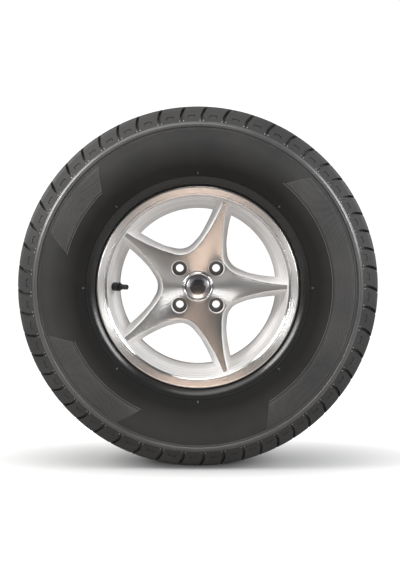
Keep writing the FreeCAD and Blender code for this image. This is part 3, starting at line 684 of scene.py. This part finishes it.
def windowCutter():
    w = wheelSizes
    verts, faces = [], []
    slope = tan(radians(w["draft"]))
    for arm in range(w["arms"]):
        turn = pi / w["arms"] + 2 * pi * arm / w["arms"]
        aim = Vector((cos(turn), 0, sin(turn)))
        side = Vector((-sin(turn), 0, cos(turn)))
        base = len(verts)
        front = windowOutline(0, w["faceTip"], w["windowSteps"])
        wider = windowOutline(-1, w["faceTip"], w["windowSteps"])
        back = windowOutline((w["tipPlane"] - w["armBack"]) * slope, w["armTip"], w["windowSteps"])
        n, rolls = len(front), w["rolls"]
        for depth, out in rolls:  # round edge from the face into the window
            for a, b, c in zip(front, back, wider):
                y = faceAt(a.length) + depth * w["roll"]
                f = (y + w["tipPlane"]) / (w["tipPlane"] - w["armBack"])
                p = a + (b - a) * f + (c - a) * out * w["roll"]
                verts.append((aim * p.x + side * p.y + Vector((0, y, 0))) * mm)
        f = (w["tipPlane"] + w["cutBack"]) / (w["tipPlane"] - w["armBack"])
        for a, b in zip(front, back):
            p = a + (b - a) * f
            verts.append((aim * p.x + side * p.y + Vector((0, w["cutBack"], 0))) * mm)
        for row in range(len(rolls)):
            a, b = base + row * n, base + (row + 1) * n
            faces += [(a + k, a + (k + 1) % n, b + (k + 1) % n, b + k) for k in range(n)]
        last = base + len(rolls) * n
        faces += [tuple(base + k for k in reversed(range(n))), tuple(last + k for k in range(n))]
    cutter = newObject("windowCutter", verts, faces)
    faceOutwards(cutter)
    return cutter


def pocketCutter():  # hollows in the backs of the spokes
    w = wheelSizes
    start, end, half, floor = w["backPocket"]
    verts, faces = [], []
    for arm in range(w["arms"]):
        turn = 2 * pi * arm / w["arms"]
        aim, side = Vector((cos(turn), 0, sin(turn))), Vector((-sin(turn), 0, cos(turn)))
        base = len(verts)
        for y, grown in ((floor, 0), w["pocketMouth"]):
            for along, across in ((start - grown, -half - grown), (end + grown, -half / 2 - grown),
                                  (end + grown, half / 2 + grown), (start - grown, half + grown)):
                verts.append((aim * along + side * across + Vector((0, y, 0))) * mm)
        faces += [tuple(base + k for k in face) for face in (
            (0, 1, 2, 3), (7, 6, 5, 4), (0, 4, 5, 1), (1, 5, 6, 2), (2, 6, 7, 3), (3, 7, 4, 0))]
    cutter = newObject("pocketCutter", verts, faces)
    faceOutwards(cutter)
    return cutter


def boltCutter():
    w = wheelSizes
    verts, faces, steps = [], [], w["boltSteps"]
    chamfer, seat = -w["hubFace"] + w["wellChamfer"], -w["hubFace"] + w["boltDepth"]
    profile = [(y, w["boltWell"] + grown) for y, grown in w["wellMouth"]]
    profile += [(chamfer, w["boltWell"]), (seat, w["boltWell"]), (seat, w["boltHole"])]
    profile.append((w["cutBack"], w["boltHole"]))
    for bolt in range(w["bolts"]):
        turn = pi / 4 + 2 * pi * bolt / w["bolts"]
        middle = Vector((cos(turn), 0, sin(turn))) * w["boltRing"]
        base = len(verts)
        for y, reach in profile:
            for k in range(steps):
                a = 2 * pi * k / steps
                verts.append((middle + Vector((reach * cos(a), y, reach * sin(a)))) * mm)
        for i in range(len(profile) - 1):
            for k in range(steps):
                a, b = base + i * steps, base + (i + 1) * steps
                faces.append((a + k, a + (k + 1) % steps, b + (k + 1) % steps, b + k))
        faces += [tuple(base + k for k in range(steps)),
                  tuple(base + (len(profile) - 1) * steps + k for k in range(steps))]
    cutter = newObject("boltCutter", verts, faces)
    faceOutwards(cutter)
    return cutter


def makeStar():
    w = wheelSizes
    section = [(y, radius) for radius, y in w["face"]] + list(w["back"])
    star = lathe("alloyWheel", section, w["starSteps"], closed=True)
    for cutter in (windowCutter(), boltCutter(), pocketCutter()):
        step = star.modifiers.new("cut", "BOOLEAN")
        step.object = cutter
        step.solver = "EXACT"
        settle(star)
        bpy.data.objects.remove(cutter)
    ease = star.modifiers.new("ease", "BEVEL")
    ease.width = w["edge"] * mm
    ease.segments = 2
    ease.limit_method = "ANGLE"
    ease.angle_limit = radians(w["edgeFrom"])
    settle(star)
    return star


def wheelPaint(wheel):  # turned faces stay bare metal, the bolt wells are drawn dark, the rest is painted
    w = wheelSizes
    well, lip, front, barrel = w["wellFaces"], w["lipFaces"], w["starFaces"], w["barrelFaces"]
    wellTop = -w["hubFace"] + w["wellChamfer"] * well["from"]
    wheel.data.materials.clear()
    for finish in (machinedAlloy, silverPaint, boltWellDark, turnedBarrel, turnedLip):
        wheel.data.materials.append(finish)
    turns = [pi / 4 + k * pi / 2 for k in range(w["bolts"])]
    bolts = [Vector((cos(turn), sin(turn))) * w["boltRing"] for turn in turns]
    for face in wheel.data.polygons:
        at, facing = face.center / mm, -face.normal.y
        reach, outward = hypot(at.x, at.z), face.normal.x * at.x + face.normal.z * at.z
        nearBolt = min((Vector((at.x, at.z)) - b).length for b in bolts)
        if nearBolt < w["boltWell"] + well["spare"] and at.y > wellTop:
            face.material_index = 2
        elif lip["front"] < at.y < lip["back"] and reach > lip["from"] and facing > lip["facing"]:
            face.material_index = 4
        elif facing > front["facing"] and at.y < front["back"] and reach < front["to"]:
            face.material_index = 0
        elif reach > barrel["from"] and outward < barrel["facing"] * reach:
            face.material_index = 3
        else:
            face.material_index = 1


def makeWheel():
    w, star = wheelSizes, makeStar()
    rim = lathe("rimPart", rounded(w["rim"], w["rimSoft"], 3, True), w["rimSteps"], closed=True)
    joined = bmesh.new()
    joined.from_mesh(star.data)
    joined.from_mesh(rim.data)
    joined.to_mesh(star.data)
    joined.free()
    bpy.data.objects.remove(rim)
    star.data.shade_smooth()
    star.data.set_sharp_from_angle(angle=radians(w["sharpFrom"]))
    wheelPaint(star)
    even = star.modifiers.new("even", "WEIGHTED_NORMAL")  # turned faces shade flat up to their round edges
    even.keep_sharp, even.weight = True, 100
    settle(star)
    return star


wheel = makeWheel()
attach(wheel, "wheel")
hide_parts("alloy_wheel")
print("wheel made", len(wheel.data.polygons))


# centre cap with a plain black badge

capSizes = {
    "shell": ((-62.6, 0.0), (-62.6, 25.4), (-50.0, 25.4), (-50.0, 27.3), (-58.2, 27.3), (-58.2, 29.7),
              (-62.8, 29.7), (-64.6, 28.6), (-65.6, 26.6), (-65.2, 25.2), (-64.4, 24.8), (-64.4, 0.0)),
    "dish": ((-64.0, 0.0), (-64.0, 24.6), (-65.0, 24.6), (-65.9, 22.0), (-66.6, 12.0), (-66.8, 0.0)),
    "badge": ((-66.0, 0.0), (-66.0, 15.4), (-67.0, 15.4), (-67.5, 14.6), (-67.8, 7.0), (-67.9, 0.0)),
    "leg": ((-51.0, 25.5), (-51.0, 27.2), (-44.8, 27.2), (-44.8, 29.2), (-43.2, 29.2), (-41.6, 26.8),
            (-41.6, 25.5)),
    "legs": 6, "legTurn": 22.0, "soft": 0.8, "badgeSoft": 0.5, "steps": 96,
}


def makeLegs():  # spring legs that hold the cap in its bore
    section, steps = capSizes["leg"], 4
    verts, faces, n = [], [], len(section)
    for k in range(steps + 1):
        turn = radians(capSizes["legTurn"]) * (k / steps - 0.5)
        verts += [(turn, along * mm, reach * mm) for along, reach in section]
    for k in range(steps):
        for i in range(n):
            j = (i + 1) % n
            faces.append((k * n + i, k * n + j, k * n + n + j, k * n + n + i))
    faces += [tuple(reversed(range(n))), tuple(range(steps * n, steps * n + n))]
    places = [(2 * pi * k / capSizes["legs"], 1.0) for k in range(capSizes["legs"])]
    return wrapped("capLegs", verts, faces, [0.0] * len(verts), places, capChrome)


capLegs = makeLegs()
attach(capLegs, "wheel")
capShell = lathe("capShell", rounded(capSizes["shell"], capSizes["soft"], 3), capSizes["steps"])
capDish = lathe("capDish", rounded(capSizes["dish"], capSizes["soft"], 3), capSizes["steps"])
capBadge = lathe("capBadge", rounded(capSizes["badge"], capSizes["badgeSoft"], 3), capSizes["steps"])
for piece, finish in ((capShell, capChrome), (capDish, smokedChrome), (capBadge, badgeEnamel)):
    piece.data.materials.append(finish)
    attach(piece, "wheel")
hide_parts("centre_cap")
print("cap made")


# valve: the CAD pieces with finishes, and the spring copied into a mesh of its own

for nodeName, finish in (("valve_body", valveRubber), ("valve_cap", capPlastic), ("valve_stem", valveBrass),
                         ("core_housing", valveBrass), ("core_pin", valveBrass)):
    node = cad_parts[nodeName]
    node.data.materials.clear()
    node.data.materials.append(finish)


def makeSpring():  # the coil under the pin, copied into a mesh of its own
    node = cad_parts["core_spring"]
    mesh = node.data.copy()
    mesh.transform(node.matrix_world)
    mesh.materials.clear()
    mesh.materials.append(springSteel)
    coil = bpy.data.objects.new("coreCoil", mesh)
    scene.collection.objects.link(coil)
    faceOutwards(coil, weld=0.000001)
    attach(coil, "wheel")
    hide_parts("core_spring")
    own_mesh(coil)


makeSpring()
print("valve finished")


# floor, light and camera

stageSizes = {
    "floor": -0.3502, "wide": 9.0, "front": -9.0, "bendAt": 3.2, "bend": 1.8, "wallAt": 5.0, "high": 8.0,
    "grey": (0.34, 0.34, 0.34, 1), "shadowPoolScale": (3.2, 6.0, 0), "shadowPoolReach": (0.2, 2.1),
    "stripGlow": (0.34, 0.04), "stripReach": (0.12, 0.55), "warmGlow": (1.0, 0.83, 0.73),
    "air": 0.13, "airMirrored": 0.03,
}


def seenWhite(tree, path, mirrored):  # white to the eye and through glass, dimmer in reflections
    gloss = addNode(tree, "ShaderNodeMath", operation="MULTIPLY")
    tree.links.new(mirrored, gloss.inputs[1])
    tree.links.new(path.outputs["Is Glossy Ray"], gloss.inputs[0])
    value = path.outputs["Is Camera Ray"]
    for more in (gloss.outputs["Value"], path.outputs["Is Transmission Ray"]):
        either = addNode(tree, "ShaderNodeMath", operation="MAXIMUM")
        tree.links.new(value, either.inputs[0])
        tree.links.new(more, either.inputs[1])
        value = either.outputs["Value"]
    return value


def studioWhite():
    s = stageSizes
    finish = bpy.data.materials.new("studioWhite")
    finish.use_nodes = True
    tree = finish.node_tree
    shader = tree.nodes["Principled BSDF"]
    shader.inputs["Base Color"].default_value = s["grey"]
    shader.inputs["Roughness"].default_value = 0.9
    shader.inputs["Specular IOR Level"].default_value = 0.1
    # the floor's glow fades out in an ellipse round the wheel, a painted shadow pool there, through which the
    # lamps' real shadow also shows
    glow = addNode(tree, "ShaderNodeMath", operation="MULTIPLY")
    coords, spread = addNode(tree, "ShaderNodeTexCoord"), addNode(tree, "ShaderNodeMapping")
    spread.inputs["Scale"].default_value = s["shadowPoolScale"]
    away = addNode(tree, "ShaderNodeVectorMath", operation="LENGTH")
    tree.links.new(coords.outputs["Object"], spread.inputs["Vector"])
    tree.links.new(spread.outputs["Vector"], away.inputs[0])
    tree.links.new(ramp(tree, away.outputs["Value"], 0.0, 1.0, *s["shadowPoolReach"]), glow.inputs[1])
    path, split = addNode(tree, "ShaderNodeLightPath"), addNode(tree, "ShaderNodeSeparateXYZ")
    tree.links.new(coords.outputs["Object"], split.inputs["Vector"])
    aside = addNode(tree, "ShaderNodeMath", operation="ABSOLUTE")
    tree.links.new(split.outputs["X"], aside.inputs[0])
    strip = ramp(tree, aside.outputs["Value"], *s["stripGlow"], *s["stripReach"])
    tree.links.new(seenWhite(tree, path, strip), glow.inputs[0])
    warm = tint(tree, path.outputs["Is Glossy Ray"], (1, 1, 1), s["warmGlow"], 0, 1)
    tree.links.new(warm, shader.inputs["Emission Color"])
    tree.links.new(glow.outputs["Value"], shader.inputs["Emission Strength"])
    return finish


def makeStage():
    s = stageSizes
    line = [(s["front"], s["floor"]), (s["bendAt"], s["floor"])]
    for k in range(1, 10):
        turn = radians(10 * k)
        line.append((s["bendAt"] + s["bend"] * sin(turn), s["floor"] + s["bend"] * (1 - cos(turn))))
    line.append((s["wallAt"], s["high"]))
    verts = [(x, y, z) for y, z in line for x in (-s["wide"], s["wide"])]
    faces = [(2 * k, 2 * k + 1, 2 * k + 3, 2 * k + 2) for k in range(len(line) - 1)]
    floor = newObject("studioFloor", verts, faces)
    floor.data.shade_smooth()
    floor.data.materials.append(studioWhite())


lightSizes = {  # place, aim, width, height, watts, colour
    "topSoft": ((-0.35, -0.75, 2.1), (0, 0, 0), 2.0, 1.0, 24.0, (1.0, 0.98, 0.96)),
    "leftSide": ((-1.75, -0.38, 1.10), (0, 0, 0), 0.9, 1.2, 56.0, (1.0, 0.99, 0.98)),
    "rightSide": ((1.75, -0.38, 0.85), (0, 0, 0), 0.8, 1.1, 40.0, (0.98, 0.99, 1.0)),
    "leftKick": ((-0.50, -1.90, 0.06), (0, 0, 0), 0.13, 0.18, 3.1, (1.0, 0.99, 0.98)),
    "rightKick": ((0.50, -1.90, 0.06), (0, 0, 0), 0.13, 0.18, 3.1, (1.0, 0.99, 0.98)),
    "warmLow": ((0.0, -1.20, -0.30), (0, 0, 0), 0.19, 0.08, 0.66, (1.0, 0.72, 0.55)),
}


def makeLights():
    for name, (place, aim, wide, high, watts, colour) in lightSizes.items():
        lamp = bpy.data.lights.new(name, "AREA")
        lamp.shape, lamp.size, lamp.size_y = "RECTANGLE", wide, high
        lamp.energy, lamp.color = watts, colour
        obj = bpy.data.objects.new(name, lamp)
        obj.location = place
        obj.rotation_euler = (Vector(aim) - Vector(place)).to_track_quat("-Z", "Y").to_euler()
        scene.collection.objects.link(obj)
    world = bpy.data.worlds.new("studioAir")
    world.use_nodes = True
    scene.world = world
    back = world.node_tree.nodes["Background"]
    back.inputs["Color"].default_value = (1, 1, 1, 1)
    tree = world.node_tree
    path = addNode(tree, "ShaderNodeLightPath")
    dim = addNode(tree, "ShaderNodeValue")
    dim.outputs[0].default_value = stageSizes["airMirrored"]
    seen = seenWhite(tree, path, dim.outputs[0])
    tree.links.new(ramp(tree, seen, stageSizes["air"], 1.0, 0, 1), back.inputs["Strength"])


cameraSizes = {"place": (0.004, -2.687, 0.157), "aim": (0.004, 0.0, 0.0), "lens": 57.3, "sensor": 24.0}


def makeCamera():
    c = cameraSizes
    lens = bpy.data.cameras.new("photoCamera")
    lens.sensor_fit, lens.sensor_height, lens.lens = "VERTICAL", c["sensor"], c["lens"]
    camera = bpy.data.objects.new("photoCamera", lens)
    camera.location = c["place"]
    camera.rotation_euler = (Vector(c["aim"]) - Vector(c["place"])).to_track_quat("-Z", "Y").to_euler()
    scene.collection.objects.link(camera)
    scene.camera = camera


makeStage()
makeLights()
makeCamera()
print("studio ready")
